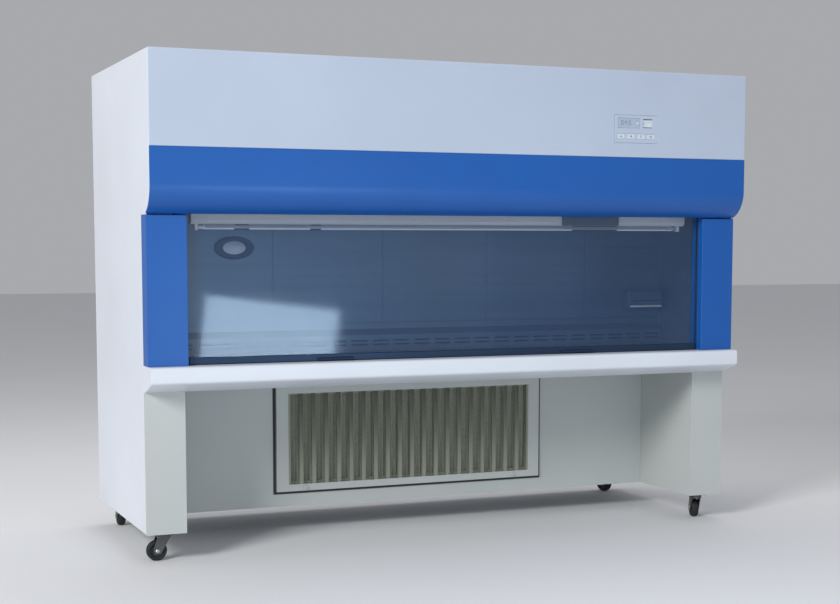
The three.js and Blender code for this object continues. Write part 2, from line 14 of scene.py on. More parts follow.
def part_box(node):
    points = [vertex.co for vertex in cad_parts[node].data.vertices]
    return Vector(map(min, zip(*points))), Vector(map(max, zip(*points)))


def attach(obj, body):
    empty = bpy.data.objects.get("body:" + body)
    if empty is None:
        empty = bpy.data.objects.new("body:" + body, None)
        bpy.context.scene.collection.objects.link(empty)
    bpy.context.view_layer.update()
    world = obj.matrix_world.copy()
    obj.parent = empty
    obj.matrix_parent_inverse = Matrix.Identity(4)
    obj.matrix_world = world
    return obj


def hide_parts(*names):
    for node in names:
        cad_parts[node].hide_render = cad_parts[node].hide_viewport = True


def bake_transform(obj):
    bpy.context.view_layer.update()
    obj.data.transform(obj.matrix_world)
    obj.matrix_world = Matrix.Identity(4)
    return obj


# ---------------------------------------------------------------- camera

scene = bpy.context.scene
scene.view_settings.view_transform = "Standard"

camera_data = bpy.data.cameras.new("camera")
camera_data.sensor_width = 36.0
camera_data.lens = 65.6
camera_data.shift_y = 0.1
camera_data.clip_end = 100.0
camera = bpy.data.objects.new("camera", camera_data)
scene.collection.objects.link(camera)
scene.camera = camera
CAMERA_AT = (-2.375, -5.689, 1.138)
CAMERA_YAW = math.radians(-22.7)
CAMERA_PITCH = math.radians(90 - 5.31)
camera.matrix_world = (
    Matrix.Translation(CAMERA_AT)
    @ Matrix.Rotation(CAMERA_YAW, 4, "Z")
    @ Matrix.Rotation(CAMERA_PITCH, 4, "X")
)

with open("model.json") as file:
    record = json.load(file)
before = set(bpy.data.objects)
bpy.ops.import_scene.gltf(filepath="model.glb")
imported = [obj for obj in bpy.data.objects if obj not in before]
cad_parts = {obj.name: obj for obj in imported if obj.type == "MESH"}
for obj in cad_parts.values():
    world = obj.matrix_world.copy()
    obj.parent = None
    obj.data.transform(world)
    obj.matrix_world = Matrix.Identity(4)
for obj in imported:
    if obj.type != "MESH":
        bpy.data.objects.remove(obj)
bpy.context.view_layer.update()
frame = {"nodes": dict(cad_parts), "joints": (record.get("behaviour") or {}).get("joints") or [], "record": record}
NODES = frame["nodes"]
JOINTS = {joint["name"]: joint for joint in frame["joints"]}
SLOT_OF = {row["node"]: row["material_slot"] for row in frame["record"]["subparts"]}
BODY_OF = {
    node: body
    for body, members in frame["record"]["behaviour"]["bodies"].items()
    for node in members
}
SIDES = (("left", -1), ("right", 1))
CASTORS = ("front_left", "front_right", "rear_left", "rear_right")

# ---------------------------------------------------------------- materials


class Shader:
    """A material's node tree, with short ways to add what most finishes share."""

    def __init__(self, name, roughness=0.5, metallic=0.0):
        self.material = bpy.data.materials.new(name)
        self.material.use_nodes = True
        self.tree = self.material.node_tree
        self.principled = self.tree.nodes["Principled BSDF"]
        self.set("Roughness", roughness)
        self.set("Metallic", metallic)

    def set(self, socket, value):
        self.principled.inputs[socket].default_value = value

    def node(self, kind, **values):
        """A new node with its inputs set by name, spaces as underscores."""
        made = self.tree.nodes.new(kind)
        for key, value in values.items():
            made.inputs[key.replace("_", " ")].default_value = value
        return made

    def link(self, source, target):
        self.tree.links.new(source, target)

    def noise(self, scale, detail=3.0, stretch=(1, 1, 1)):
        """Noise fixed to the piece; a small stretch value draws it out along that axis."""
        coordinates = self.node("ShaderNodeTexCoord")
        mapping = self.node("ShaderNodeMapping", Scale=stretch)
        texture = self.node("ShaderNodeTexNoise", Scale=scale, Detail=detail)
        self.link(coordinates.outputs["Object"], mapping.inputs["Vector"])
        self.link(mapping.outputs["Vector"], texture.inputs["Vector"])
        return texture.outputs["Fac"]

    def ramp(self, factor, low, high, start=0.3, end=0.7):
        """Colour that runs from low to high as factor goes from start to end."""
        ramp = self.tree.nodes.new("ShaderNodeValToRGB")
        first, last = ramp.color_ramp.elements
        first.position, last.position = start, end
        first.color, last.color = (*low, 1), (*high, 1)
        self.link(factor, ramp.inputs["Fac"])
        return ramp.outputs["Color"]

    def vary(self, colour, amount, scale, stretch=(1, 1, 1)):
        """Base colour that wanders a little around colour."""
        low = [c * (1 - amount) for c in colour]
        high = [min(1.0, c * (1 + amount)) for c in colour]
        tone = self.ramp(self.noise(scale, 4.0, stretch), low, high)
        self.link(tone, self.principled.inputs["Base Color"])

    def rough(self, low, high, scale, stretch=(1, 1, 1)):
        """Roughness that wanders between low and high."""
        spread = self.node("ShaderNodeMapRange", To_Min=low, To_Max=high)
        self.link(self.noise(scale, 3.0, stretch), spread.inputs["Value"])
        self.link(spread.outputs["Result"], self.principled.inputs["Roughness"])

    def bump(self, height, strength, distance):
        bump = self.node("ShaderNodeBump", Strength=strength, Distance=distance)
        self.link(height, bump.inputs["Height"])
        self.link(bump.outputs["Normal"], self.principled.inputs["Normal"])


def painted(name, colour, roughness=0.42):
    """Powder coat: orange-peel bump, and a faint cloudiness in colour and gloss."""
    shader = Shader(name)
    shader.vary(colour, 0.035, 2.2)
    shader.rough(roughness - 0.06, roughness + 0.08, 5.0)
    shader.bump(shader.noise(420.0, 2.0), 0.12, 0.0006)
    shader.set("Coat Weight", 0.15)
    shader.set("Coat Roughness", 0.25)
    return shader.material


def brushed(name, colour, stretch, roughness, metallic=0.9):
    """Metal with fine scratches along its long direction."""
    shader = Shader(name, metallic=metallic)
    shader.vary(colour, 0.10, 30.0, stretch)
    shader.rough(roughness - 0.08, roughness + 0.12, 60.0, stretch)
    shader.bump(shader.noise(160.0, 3.0, stretch), 0.15, 0.0004)
    return shader.material


def spangled(name, colour):
    """Galvanised sheet: crystal patches of slightly different grey."""
    shader = Shader(name, metallic=0.85)
    coordinates = shader.node("ShaderNodeTexCoord")
    cells = shader.node("ShaderNodeTexVoronoi", Scale=70.0)
    shader.link(coordinates.outputs["Object"], cells.inputs["Vector"])
    low, high = [c * 0.8 for c in colour], [c * 1.15 for c in colour]
    tone = shader.ramp(cells.outputs["Distance"], low, high, 0.0, 0.8)
    shader.link(tone, shader.principled.inputs["Base Color"])
    shader.rough(0.35, 0.55, 40.0)
    return shader.material


def moulded(name, colour, roughness=0.45, grain=0.15):
    """Moulded plastic or rubber with a fine spark-eroded grain."""
    shader = Shader(name)
    shader.vary(colour, 0.06, 18.0)
    shader.rough(roughness - 0.05, roughness + 0.08, 60.0)
    shader.bump(shader.noise(1100.0, 2.0), grain, 0.0003)
    return shader.material


def fleece(name, colour):
    """Matted filter fibres."""
    shader = Shader(name, roughness=0.95)
    shader.vary(colour, 0.18, 160.0)
    shader.bump(shader.noise(500.0, 5.0), 0.6, 0.0015)
    shader.set("Sheen Weight", 0.3)
    return shader.material


def glowing(name, colour, strength):
    """A surface that gives off its own colour."""
    shader = Shader(name, roughness=0.3)
    shader.vary(colour, 0.03, 30.0)
    shader.set("Emission Color", (*colour, 1))
    shader.set("Emission Strength", strength)
    return shader.material


def tinted_glass(name, tint, alpha):
    """Thin tinted glass: mostly see-through, with a faint wipe-mark sheen."""
    shader = Shader(name)
    shader.vary(tint, 0.08, 3.0, (1, 1, 0.3))
    shader.rough(0.03, 0.09, 6.0, (1, 1, 0.3))
    shader.set("Alpha", alpha)
    shader.set("IOR", 1.9)
    shader.set("Specular IOR Level", 1.0)
    shader.set("Coat Weight", 1.0)
    shader.set("Coat Roughness", 0.04)
    return shader.material


ALONG_X = (0.04, 1, 1)
EVEN = (1, 1, 1)
MATERIALS = {
    "white_paint": painted("white_powder_coat", (0.72, 0.76, 0.82)),
    "grey_paint": painted("pale_blue_grey_coat", (0.49, 0.56, 0.68)),
    "blue_paint": painted("blue_powder_coat", (0.003, 0.100, 0.41), 0.40),
    "leg_paint": painted("grey_white_coat", (0.50, 0.53, 0.51)),
    # Stainless drawn dark and blue: painted shade of the enclosed work zone and a painted blue reflection.
    "stainless": brushed("stainless_with_painted_shade_and_reflection", (0.11, 0.165, 0.22), ALONG_X, 0.38, 0.7),
    "galvanised": spangled("galvanised_sheet", (0.42, 0.44, 0.44)),
    "weight_iron": moulded("painted_iron", (0.10, 0.10, 0.11), 0.6, 0.5),
    "anodised": brushed("dark_blue_anodising", (0.020, 0.045, 0.095), ALONG_X, 0.4, 0.5),
    "aluminium": brushed("satin_aluminium", (0.60, 0.62, 0.64), ALONG_X, 0.36),
    "plated_steel": brushed("dark_zinc_plate", (0.13, 0.135, 0.13), EVEN, 0.4),
    "cable_steel": brushed("stranded_cable", (0.45, 0.46, 0.47), (1, 1, 0.3), 0.4),
    "black_plastic": moulded("black_plastic", (0.016, 0.018, 0.020)),
    "light_plastic": moulded("pale_plastic", (0.66, 0.71, 0.78), 0.38),
    "display": moulded("pale_display_window", (0.42, 0.49, 0.60), 0.2, 0.02),
    "port_rubber": moulded("grommet_rubber", (0.006, 0.016, 0.036), 0.6, 0.3),
    "castor_rubber": moulded("castor_rubber", (0.010, 0.011, 0.011), 0.7, 0.4),
    "filter_media": fleece("filter_fleece", (0.42, 0.43, 0.35)),
    "sash_glass": tinted_glass("tinted_float_glass", (0.01, 0.10, 0.30), 0.17),
    "lamp_glass": glowing("lamp_tube_glass", (0.80, 0.86, 0.90), 0.12),
}
# Black rubber for strips, caps and seals; round the filter door the same dark frame is painted shade along the
# door's edges.
GASKET_RUBBER_AND_SHADE = moulded("gasket_rubber_and_painted_shade", (0.03, 0.035, 0.04), 0.7, 0.3)
# Dark blue for the corner sealant; the back wall's seam and level lines use it as painted shade.
SEALANT_AND_GROOVE_SHADE = moulded("sealant_and_painted_groove_shade", (0.035, 0.06, 0.09), 0.6, 0.2)
SCREW_STEEL = brushed("screw_steel", (0.5, 0.51, 0.52), EVEN, 0.3)
PORT_PLATE = brushed("port_plate", (0.60, 0.70, 0.80), (1, 1, 0.2), 0.45, 0.4)
LED_GREEN = glowing("indicator_light", (0.45, 0.85, 0.60), 0.7)
DIGIT = moulded("display_digit", (0.10, 0.14, 0.20), 0.3, 0.02)
LEGEND = moulded("key_legend", (0.12, 0.18, 0.28), 0.4, 0.05)
# White plastic for socket faces and lamp holders; on the socket flap's lip the white is a painted glint.
BRIGHT = moulded("white_plastic_and_painted_glint", (0.80, 0.85, 0.90), 0.35, 0.05)
# Dark plastic for the lamp's starter cover; the socket case and flap wear it too in place of their pale plastic,
# as painted shade.
SMOKED_AND_SHADE = moulded("smoked_plastic_and_painted_shade", (0.06, 0.09, 0.13), 0.3, 0.05)
SHADOW = moulded("dark_recess", (0.010, 0.012, 0.014), 0.9, 0.1)
BRASS = brushed("contact_brass", (0.62, 0.48, 0.22), EVEN, 0.3)
FIN_PAINT = painted("motor_paint", (0.05, 0.09, 0.13), 0.5)
# A darker olive copy of the door's grey paint: painted shade under the bench.
SHADED_GRILLE_PAINT = painted("grille_paint_painted_shade", (0.27, 0.28, 0.22), 0.5)

# ---------------------------------------------------------------- mesh tools

SHARP = math.radians(35)  # edges that turn more than this are rounded
FLAT = math.radians(1)  # faces that turn less than this are merged
WELD = 1e-5


def finish_piece(name, bm, material, body, bevel=0.0, segments=2):
    """Turns a bmesh into a piece that rides on a body, its edges rounded by bevel."""
    bmesh.ops.recalc_face_normals(bm, faces=bm.faces)
    mesh = bpy.data.meshes.new(name)
    bm.to_mesh(mesh)
    bm.free()
    piece = bpy.data.objects.new(name, mesh)
    scene.collection.objects.link(piece)
    mesh.materials.append(material)
    mesh.shade_smooth()
    mesh.set_sharp_from_angle(angle=SHARP)
    if bevel:
        rounding = piece.modifiers.new("rounding", "BEVEL")
        rounding.width = bevel
        rounding.segments = segments
        rounding.limit_method = "ANGLE"
        rounding.angle_limit = SHARP
        rounding.harden_normals = True
    if body:
        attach(piece, body)
    return piece


def in_slot(name, bm, slot, body, bevel=0.0, segments=2):
    """A piece that wears its slot's own material."""
    return finish_piece(name, bm, MATERIALS[slot], body, bevel, segments)


def stand_for(name, bm, node, bevel=0.0, segments=2, material=None):
    """A detailed piece that takes the place of one CAD node."""
    slot = SLOT_OF[node]
    piece = finish_piece(
        name, bm, material or MATERIALS[slot], BODY_OF[node], bevel, segments
    )
    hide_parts(node)
    return piece


def refined(node, name, bevel, segments, material=None):
    """The CAD node's own shape with its flats merged and its edges rounded."""
    bm = bmesh.new()
    bm.from_mesh(NODES[node].data)
    bmesh.ops.remove_doubles(bm, verts=bm.verts, dist=WELD)
    bmesh.ops.dissolve_limit(bm, angle_limit=FLAT, verts=bm.verts, edges=bm.edges)
    return stand_for(name, bm, node, bevel, segments, material)


def add_block(bm, low, high):
    """A box between its low and high corners."""
    centre = (Vector(low) + Vector(high)) / 2
    size = Vector(high) - Vector(low)
    matrix = Matrix.Translation(centre) @ Matrix.Diagonal((*size, 1))
    bmesh.ops.create_cube(bm, size=1, matrix=matrix)


def mirror_x(low, high, sign):
    """A box's corners, or their mirror image in x."""
    if sign > 0:
        return low, high
    return (-high[0], low[1], low[2]), (-low[0], high[1], high[2])


TO_AXIS = {
    "x": Matrix.Rotation(math.pi / 2, 4, "Y"),
    "y": Matrix.Rotation(-math.pi / 2, 4, "X"),
    "z": Matrix.Identity(4),
}


def at(x, y, z, axis="z"):
    """Places local z along an axis."""
    return Matrix.Translation((x, y, z)) @ TO_AXIS[axis]


def aim_along(direction):
    """Turns local z to a direction."""
    return Vector((0, 0, 1)).rotation_difference(Vector(direction)).to_matrix().to_4x4()


def add_lathe(bm, profile, matrix, segments, squash=1.0):
    """Turns (radius, height) points about local z; points at radius 0 close the ends."""
    rings = []
    for radius, height in profile:
        count = segments if radius else 1
        ring = []
        for i in range(count):
            angle = 2 * math.pi * i / segments
            x, y = radius * math.cos(angle), squash * radius * math.sin(angle)
            ring.append(bm.verts.new(matrix @ Vector((x, y, height))))
        rings.append(ring)
    for a, b in zip(rings, rings[1:]):
        for i in range(segments):
            j = (i + 1) % segments
            corners = [a[i % len(a)], a[j % len(a)], b[j % len(b)], b[i % len(b)]]
            unique = list(dict.fromkeys(corners))
            if len(unique) > 2:
                bm.faces.new(unique)


def add_ring(bm, section, matrix, segments, squash=1.0):
    """Turns a closed section that stays clear of local z."""
    add_lathe(bm, [*section, section[0]], matrix, segments, squash)


def add_prism(bm, outline, axis, low, high):
    """Extrudes an outline; its points are (y, z) for x, (x, z) for y, (x, y) for z."""

    def point(u, v, w):
        return {"x": (w, u, v), "y": (u, w, v), "z": (u, v, w)}[axis]

    near = [bm.verts.new(point(u, v, low)) for u, v in outline]
    far = [bm.verts.new(point(u, v, high)) for u, v in outline]
    bm.faces.new(near)
    bm.faces.new(far[::-1])
    for i in range(len(outline)):
        j = (i + 1) % len(outline)
        bm.faces.new((near[i], near[j], far[j], far[i]))


def add_pierced(bm, axis, low, high, holes):
    """A flat plate with rectangular holes, each (u0, u1, v0, v1) in the plate's plane."""
    u_axis, v_axis = {"x": (1, 2), "y": (0, 2), "z": (0, 1)}[axis]
    w_axis = "xyz".index(axis)
    us = sorted({low[u_axis], high[u_axis], *(u for h in holes for u in h[:2])})
    vs = sorted({low[v_axis], high[v_axis], *(v for h in holes for v in h[2:])})
    u_at = {u: i for i, u in enumerate(us)}
    v_at = {v: i for i, v in enumerate(vs)}
    empty = {
        (i, j)
        for u0, u1, v0, v1 in holes
        for i in range(u_at[u0], u_at[u1])
        for j in range(v_at[v0], v_at[v1])
    }
    corners = {}

    def corner(i, j, far):
        if (i, j, far) not in corners:
            point = [0, 0, 0]
            point[u_axis], point[v_axis] = us[i], vs[j]
            point[w_axis] = high[w_axis] if far else low[w_axis]
            corners[i, j, far] = bm.verts.new(point)
        return corners[i, j, far]

    def solid(i, j):
        inside = 0 <= i < len(us) - 1 and 0 <= j < len(vs) - 1
        return inside and (i, j) not in empty

    for i in range(len(us) - 1):
        for j in range(len(vs) - 1):
            if not solid(i, j):
                continue
            loop = [(i, j), (i + 1, j), (i + 1, j + 1), (i, j + 1)]
            for far in (False, True):
                bm.faces.new([corner(*c, far) for c in loop])
            beyond = [(i, j - 1), (i + 1, j), (i, j + 1), (i - 1, j)]
            for k, neighbour in enumerate(beyond):
                if not solid(*neighbour):
                    a, b = loop[k], loop[(k + 1) % 4]
                    wall = (corner(*a, False), corner(*b, False))
                    bm.faces.new((*wall, corner(*b, True), corner(*a, True)))


def arc(u, v, radius, start, end, steps):
    """Points of a round stretch, in degrees."""
    angles = [math.radians(start + (end - start) * i / steps) for i in range(steps + 1)]
    return [(u + radius * math.cos(a), v + radius * math.sin(a)) for a in angles]


def add_tube(bm, path, radius, sides=10):
    """A round bar along a path."""
    points = [Vector(p) for p in path]
    side = (points[1] - points[0]).normalized().orthogonal().normalized()
    rings = []
    for i, p in enumerate(points):
        ahead = (points[min(i + 1, len(points) - 1)] - points[max(i - 1, 0)]).normalized()
        side = (side - ahead * side.dot(ahead)).normalized()
        up = ahead.cross(side)
        angles = [2 * math.pi * k / sides for k in range(sides)]
        rings.append([
            bm.verts.new(p + (side * math.cos(a) + up * math.sin(a)) * radius)
            for a in angles
        ])
    for a, b in zip(rings, rings[1:]):
        for k in range(sides):
            j = (k + 1) % sides
            bm.faces.new((a[k], a[j], b[j], b[k]))
    bm.faces.new(rings[0])
    bm.faces.new(rings[-1][::-1])


PAN_HEAD = [(0, -0.4), (1.0, -0.4), (1.0, 0.2), (0.86, 0.4), (0.5, 0.48), (0, 0.5)]


def screws(name, spots, facing, body, radius):
    """Pan-head screws with a raised cross, their seats on a face that looks along facing."""
    bm = bmesh.new()
    aim = aim_along(facing)
    bar = Matrix.Diagonal((1.2 * radius, 0.25 * radius, 0.12 * radius, 1))
    lift = Matrix.Translation((0, 0, 0.5 * radius))
    twist = 0.4
    for spot in spots:
        place = Matrix.Translation(spot) @ aim
        add_lathe(bm, [(r * radius, h * radius) for r, h in PAN_HEAD], place, 20)
        for angle in (twist, twist + math.pi / 2):
            turn = lift @ Matrix.Rotation(angle, 4, "Z")
            bmesh.ops.create_cube(bm, size=1, matrix=place @ turn @ bar)
    finish_piece(name, bm, SCREW_STEEL, body)


def spread(low, high, count):
    """Evenly spaced values from low to high."""
    return [low + (high - low) * i / (count - 1) for i in range(count)]


def shifted(outline, u, v):
    """An outline drawn about zero, moved to u, v."""
    return [(u + du, v + dv) for du, dv in outline]


def pleats(start, end, count, tip, valley, back):
    """Outline of a folded sheet with a flat back."""
    folds = spread(start, end, count)
    zigzag = [(u, tip if i % 2 else valley) for i, u in enumerate(folds)]
    return zigzag + [(end, back), (start, back)]


def slot_row(centres, half, v0, v1):
    """Slots of one height, side by side, as add_pierced takes them."""
    return [(u - half, u + half, v0, v1) for u in centres]


# ---------------------------------------------------------------- shell


def header_band():
    """The blue header: a flat front that curls under into a smooth chin."""
    low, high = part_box("header_band")
    skin, radius, drop = 0.006, 0.110, 0.125
    centre_y, centre_z = low.y + radius, high.z - drop
    outer = arc(centre_y, centre_z, radius, 180, 250, 28)
    inner = arc(centre_y, centre_z, radius - skin, 250, 180, 28)
    bm = bmesh.new()
    outline = [(low.y, high.z), *outer, *inner, (low.y + skin, high.z)]
    add_prism(bm, outline, "x", low.x, high.x)
    stand_for("blue_header", bm, "header_band", 0.0018, 3)
    wiper = bmesh.new()
    half, near, far = 1.0545, centre_y - 0.0355, -0.3932
    bottom, top = 1.2445, 1.2475
    add_block(wiper, (-half, near, bottom), (half, far, top))
    finish_piece("header_wiper_strip", wiper, GASKET_RUBBER_AND_SHADE, "cabinet", bevel=0.0006)


def nose_rail():
    """The white nose: a boxed rail with a soft front edge and a sloping lower face."""
    low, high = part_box("nose_rail")
    corner, heel = 0.012, low.y + 0.103
    slope_top = high.z - 0.0547
    outline = [
        (high.y, high.z),
        *arc(low.y + corner, high.z - corner, corner, 90, 180, 6),
        *arc(low.y + corner, slope_top + 0.004, corner, 180, 248, 8),
        (heel, low.z),
        (high.y, low.z),
    ]
    bm = bmesh.new()
    add_prism(bm, outline, "x", low.x, high.x)
    stand_for("nose_rail_skin", bm, "nose_rail", 0.0015, 2)
    strip = bmesh.new()
    half, near, far = 1.045, -0.400, -0.378
    gap, top = 0.0002, 0.0020
    add_block(strip, (-half, near, high.z + gap), (half, far, high.z + top))
    finish_piece("sash_landing_strip", strip, GASKET_RUBBER_AND_SHADE, "cabinet", bevel=0.0005)


def shell_sheets():
    """Sheets that keep their CAD outline, with folded edges."""
    folded = {
        "side_panel_left": "left_side_skin",
        "side_panel_right": "right_side_skin",
        "upper_fascia": "fascia_skin",
        "post_left": "left_post_skin",
        "post_right": "right_post_skin",
        "leg_casing_left": "left_leg_skin",
        "leg_casing_right": "right_leg_skin",
        "roof_panel": "roof_skin",
    }
    thin = {
        "lower_front_panel": "knee_panel_skin",
        "bench_deck": "deck_sheet",
        "base_panel": "base_sheet",
        "inner_wall_left": "left_lining",
        "inner_wall_right": "right_lining",
        "back_wall": "back_lining",
    }
    for node, name in folded.items():
        refined(node, name, 0.0022, 3)
    for node, name in thin.items():
        refined(node, name, 0.0010, 2)


def rear_covers():
    """Two screwed covers with louvre slots, a blade behind each slot."""
    banks = {"rear_cover_lower": (0.30, 0.48), "rear_cover_upper": (1.50, 1.68)}
    inlet_opening = (-1.0, -0.93, 0.15, 0.20)
    columns, slot_half, slot_rise = (-0.72, 0.0, 0.72), 0.16, 0.005
    margin, seat, screw, sunk = 0.03, 0.0058, 0.0052, 0.0033
    overlap = 0.004
    for node, (z0, z1) in banks.items():
        low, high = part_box(node)
        slots = []
        for z in spread(z0, z1, 10):
            slots += slot_row(columns, slot_half, z - slot_rise, z + slot_rise)
        xs = spread(low.x + margin, high.x - margin, 7)
        zs = (low.z + margin, (low.z + high.z) / 2, high.z - margin)
        seats = [hole for z in zs for hole in slot_row(xs, seat, z - seat, z + seat)]
        inlet = [inlet_opening] if node.endswith("lower") else []
        bm = bmesh.new()
        add_pierced(bm, "y", low, high, slots + seats + inlet)
        stand_for(f"{node}_louvred", bm, node, 0.0008, 1)
        name = node.replace("_cover", "")
        spots = [(x, high.y - sunk, z) for x in xs for z in zs]
        screws(f"{name}_screws", spots, (0, 1, 0), "cabinet", screw)
        blades = bmesh.new()
        for x0, x1, v0, v1 in slots:
            foot, tip = v0 - 0.002, v1 + 0.001
            blade = [(low.y - 0.012, foot), (low.y - 0.0105, foot),
                     (low.y - 0.0005, tip), (low.y - 0.002, tip)]
            add_prism(blades, blade, "x", x0 - overlap, x1 + overlap)
        finish_piece(f"{name}_louvre_blades", blades, MATERIALS["white_paint"], "cabinet")


def roof_vent():
    """A framed grille of slanted blades over the exhaust opening."""
    low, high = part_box("roof_vent")
    rim, tuck, blade, lean = 0.025, 0.001, 0.002, 0.010
    x0, x1, y0, y1 = low.x + rim, high.x - rim, low.y + rim, high.y - rim
    foot, top = low.z + tuck, high.z - tuck
    bm = bmesh.new()
    add_pierced(bm, "z", low, high, [(x0, x1, y0, y1)])
    for y in spread(y0 + lean + blade, y1 - 2 * lean - blade, 18):
        outline = [(y, foot), (y + blade, foot), (y + lean + blade, top), (y + lean, top)]
        add_prism(bm, outline, "x", x0 - tuck, x1 + tuck)
    stay, rise = 0.003, 0.004
    for x in (-0.14, 0.14):
        add_block(bm, (x - stay, y0 - tuck, foot), (x + stay, y1 + tuck, low.z + rise))
    stand_for("roof_vent_louvred", bm, "roof_vent", 0.0008, 2)
    inset, sunk = 0.012, 0.0012
    spots = [
        (x, y, high.z - sunk)
        for x in spread(low.x + inset, high.x - inset, 5)
        for y in (low.y + inset, high.y - inset)
    ]
    screws("roof_vent_screws", spots, (0, 0, 1), "cabinet", 0.0040)


header_band()
nose_rail()
shell_sheets()
rear_covers()
roof_vent()

# ---------------------------------------------------------------- work zone


def worktop():
    """The steel worktop with a row of air slots along its front and its back."""
    low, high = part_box("worktop")
    centres, half = spread(low.x + 0.06, high.x - 0.06, 44), 0.019
    slots = slot_row(centres, half, low.y + 0.012, low.y + 0.020)
    slots += slot_row(centres, half, 0.055, 0.063)
    bm = bmesh.new()
    add_pierced(bm, "z", low, high, slots)
    stand_for("worktop_slotted", bm, "worktop", 0.0008, 1)


def back_wall_details():
    """Panel seams and a level line drawn as dark strips of painted shade, a return-air plenum along the foot, and
    corner sealant.
    """
    wall, half, lid = 0.0999, 1.184, 1.245
    seam, proud, seam_foot = 0.0012, 0.0006, 0.80
    # Thin dark strips for the panel seams and a level line across the wall: painted shade in grooves and under a
    # ledge.
    seams = bmesh.new()
    for x in (-1.044, -0.581, -0.118, 0.345, 0.808):
        add_block(seams, (x - seam, wall - proud, seam_foot), (x + seam, wall, lid))
    add_block(seams, (-half, wall - proud, 0.8190), (half, wall, 0.8215))
    finish_piece("back_wall_seam_shade_lines", seams, SEALANT_AND_GROOVE_SHADE, "cabinet")
    face, top, foot, sheet = 0.074, 0.772, 0.7101, 0.0012
    plenum = bmesh.new()
    slots = []
    for z0, z1 in ((0.746, 0.752), (0.730, 0.736)):
        slots += slot_row(spread(-1.13, 1.13, 26), 0.034, z0, z1)
    add_pierced(plenum, "y", (-half, face, foot), (half, face + sheet, top), slots)
    slope = [(face, top), (face + sheet, top), (wall, top + 0.022), (wall, top + 0.0235)]
    add_prism(plenum, slope, "x", -half, half)
    in_slot("return_plenum", plenum, "stainless", "cabinet", 0.0005, 1)
    dark, inset = bmesh.new(), 0.004
    near, far = face + 0.010, face + 0.012
    add_block(dark, (inset - half, near, foot + inset), (half - inset, far, top - inset))
    finish_piece("plenum_shadow", dark, SHADOW, "cabinet")
    beads, corner, leg = bmesh.new(), 1.1849, 0.005
    for _, sign in SIDES:
        x = sign * corner
        bead = [(x, wall), (x - sign * leg, wall), (x, wall - leg)]
        add_prism(beads, bead, "z", 0.797, lid)
    finish_piece("corner_sealant", beads, SEALANT_AND_GROOVE_SHADE, "cabinet")


def lamp():
    """The lamp fixture: a folded housing, reflector, holders, clips, starter and tube."""
    low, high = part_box("lamp_housing")
    tube_low, tube_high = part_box("lamp_tube")
    y, z = (tube_low.y + tube_high.y) / 2, (tube_low.z + tube_high.z) / 2
    radius, half = (tube_high.z - tube_low.z) / 2, tube_high.x
    fold_y, fold_z, clear = 0.010, 0.012, 0.0003
    bm = bmesh.new()
    outline = [
        (low.y, high.z), (low.y, low.z + fold_z), (low.y + fold_y, low.z),
        (high.y - fold_y, low.z), (high.y, low.z + fold_z), (high.y, high.z),
    ]
    add_prism(bm, outline, "x", low.x, high.x)
    stand_for("lamp_housing_folded", bm, "lamp_housing", 0.0012, 2)
    reflector, reach = bmesh.new(), 0.97
    for edge, run in ((low.y, -1), (high.y, 1)):
        outer = (edge + run * 0.004, z - 0.004)
        inner = (y + run * 0.006, low.z - 0.0004)
        outline = [inner, outer, (outer[0], outer[1] + 0.001), (inner[0], inner[1] + clear)]
        add_prism(reflector, outline, "x", -reach, reach)
    in_slot("lamp_reflector", reflector, "aluminium", "cabinet")
    glass, end, wall = bmesh.new(), half - 0.018, radius * 0.97
    profile = [(0, -end), (wall, -end), (wall, end), (0, end)]
    add_lathe(glass, profile, at(0, y, z, "x"), 32)
    stand_for("lamp_tube_glass", glass, "lamp_tube")
    caps, holders = bmesh.new(), bmesh.new()
    cap = [(0, end), (radius, end), (radius, half - 0.001), (0, half)]
    holder_y, holder_z = 0.009, 0.011
    for sign in (-1, 1):
        add_lathe(caps, [(r, sign * h) for r, h in cap], at(0, y, z, "x"), 32)
        x0, x1 = sorted((sign * (half + 0.0005), sign * (half + 0.014)))
        top = low.z - clear
        add_block(holders, (x0, y - holder_y, z - holder_z), (x1, y + holder_y, top))
    in_slot("lamp_tube_caps", caps, "aluminium", "cabinet", 0.0006)
    finish_piece("lamp_holders", holders, BRIGHT, "cabinet", 0.002, 3)
    clips, grip = bmesh.new(), radius + 0.003
    for x, width in ((-0.83, 0.055), (-0.55, 0.04), (0.615, 0.20)):
        outline = arc(y, z, grip, 180, 360, 14)
        outline += [(y + grip, low.z - clear), (y - grip, low.z - clear)]
        add_prism(clips, outline, "x", x - width / 2, x + width / 2)
    cover, depth, gap = bmesh.new(), 0.010, 0.0004
    x0, x1 = 0.46, 0.71
    add_block(cover, (x0, low.y - depth, low.z + gap), (x1, low.y - gap, high.z - gap))
    finish_piece("lamp_starter_cover", cover, SMOKED_AND_SHADE, "cabinet", 0.002, 3)
    in_slot("lamp_clips", clips, "black_plastic", "cabinet", 0.001)


def ceiling():
    """A slotted diffuser under a pleated filter in its frame."""
    low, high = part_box("ceiling_diffuser")
    centres, half, rise = spread(low.x + 0.05, high.x - 0.05, 46), 0.018, 0.006
    holes = []
    for y in spread(low.y + 0.04, high.y - 0.04, 9):
        holes += slot_row(centres, half, y - rise, y + rise)
    bm = bmesh.new()
    add_pierced(bm, "z", low, high, holes)
    stand_for("diffuser_slotted", bm, "ceiling_diffuser", 0.0006, 1)
    low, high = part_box("supply_filter")
    rail = 0.020
    x0, x1, y0, y1 = low.x + rail, high.x - rail, low.y + rail, high.y - rail
    pack = bmesh.new()
    outline = pleats(x0, x1, 181, low.z + 0.004, low.z + 0.060, high.z - 0.004)
    add_prism(pack, outline, "y", y0, y1)
    stand_for("supply_filter_pleats", pack, "supply_filter")
    bars = bmesh.new()
    add_pierced(bars, "z", low, high, [(x0, x1, y0, y1)])
    in_slot("supply_filter_frame", bars, "galvanised", "cabinet", 0.001)


